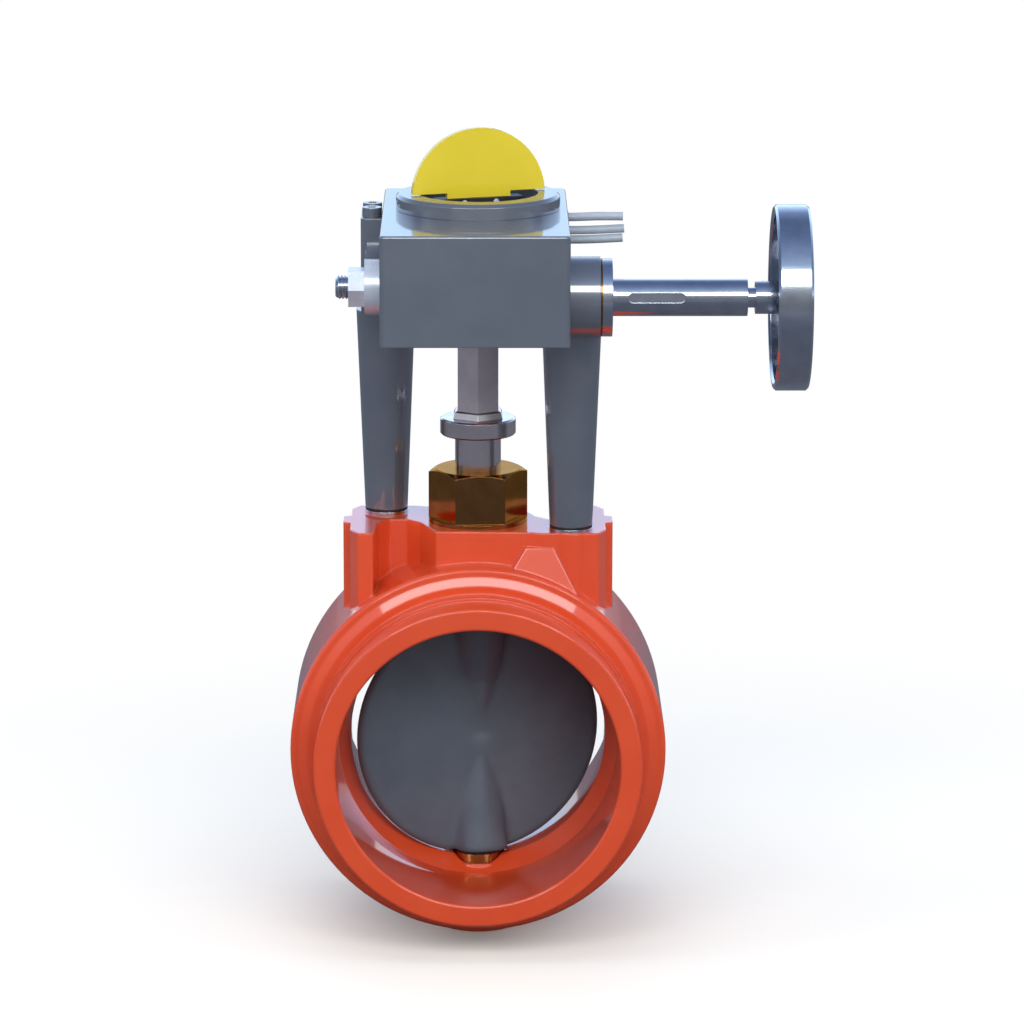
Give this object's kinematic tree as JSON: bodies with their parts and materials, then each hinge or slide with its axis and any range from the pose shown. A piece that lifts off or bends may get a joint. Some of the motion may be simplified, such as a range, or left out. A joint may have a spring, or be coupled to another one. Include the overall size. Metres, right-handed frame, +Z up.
{
  "type": "gear-operated grooved-end butterfly valve",
  "caption": "Grooved-end butterfly valve with a worm gearbox on two posts, handwheel, position flag and switch leads.",
  "frame": {"origin": "centre of the inlet end face, on the bore's axis", "axes": "+Y along the bore from inlet to outlet, +Z up along the stem to the gearbox, +X towards the handwheel"},
  "size_m": [0.2637, 0.174, 0.4233],
  "materials": {
    "body_paint": "gloss orange epoxy coat over ductile iron",
    "grey_casting": "gloss blue-grey enamel over cast iron",
    "disc_coat": "smooth dark grey coating over ductile iron",
    "bronze": "dark machined bronze",
    "stem_steel": "turned and milled stainless steel",
    "shaft_steel": "ground steel",
    "zinc_steel": "bright zinc plate",
    "flag_yellow": "moulded yellow plastic",
    "black_rubber": "black elastomer",
    "black_plastic": "moulded black plastic",
    "lead_jacket": "pale grey cable jacket"
  },
  "bodies": {
    "valve": {"valve_body": "body_paint", "upper_stem_bush": "bronze", "lower_stem_bush": "bronze", "upper_thrust_ring": "black_rubber", "lower_thrust_ring": "black_rubber", "lower_plug": "zinc_steel", "stem_packing": "black_rubber", "bonnet_nut": "bronze", "post_left": "grey_casting", "post_right": "grey_casting", "post_studs": "zinc_steel", "post_washers": "zinc_steel", "post_seals": "black_rubber", "ear_screws_left": "grey_casting", "ear_screws_right": "grey_casting", "gearbox_housing": "grey_casting", "base_plate": "grey_casting", "base_plate_screws": "zinc_steel", "output_bush": "bronze", "top_bush": "bronze", "worm_bush_inner": "bronze", "worm_bush_outer": "bronze", "retainer_gasket": "bronze", "shaft_retainer": "shaft_steel", "retainer_screws": "zinc_steel", "stop_flange": "zinc_steel", "stop_nut": "zinc_steel", "stop_screw": "shaft_steel", "indicator_bezel": "grey_casting", "tamper_switch": "black_plastic", "switch_screws": "zinc_steel", "lead_grommet": "black_rubber", "switch_lead_1": "lead_jacket", "switch_lead_2": "lead_jacket", "switch_lead_3": "lead_jacket"},
    "stem_assembly": {"disc": "disc_coat", "disc_pins": "stem_steel", "stem": "stem_steel", "lower_stem": "stem_steel", "stem_collar": "stem_steel", "coupling_pin": "stem_steel", "stem_extension": "stem_steel", "drive_key": "shaft_steel", "worm_wheel": "bronze", "retaining_ring": "shaft_steel", "indicator_carrier": "black_plastic", "indicator_flag": "flag_yellow", "carrier_screws": "zinc_steel"},
    "input_assembly": {"worm": "shaft_steel", "worm_pins": "shaft_steel", "input_shaft": "shaft_steel", "handwheel": "shaft_steel", "handwheel_pin": "zinc_steel"}
  },
  "joints": [
    {"name": "stem_turn", "type": "hinge", "parent": "valve", "child": "stem_assembly", "pos_m": [0, 0.077, 0], "axis": [0, 0, 1], "range_deg": [-18, 72]},
    {"name": "worm_spin", "type": "hinge", "parent": "valve", "child": "input_assembly", "pos_m": [0, 0.027, 0.24], "axis": [1, 0, 0], "range_deg": [-721, 2881]}
  ],
  "couplings": [
    {"joint": "worm_spin", "follows": "stem_turn", "ratio": 40}
  ]
}
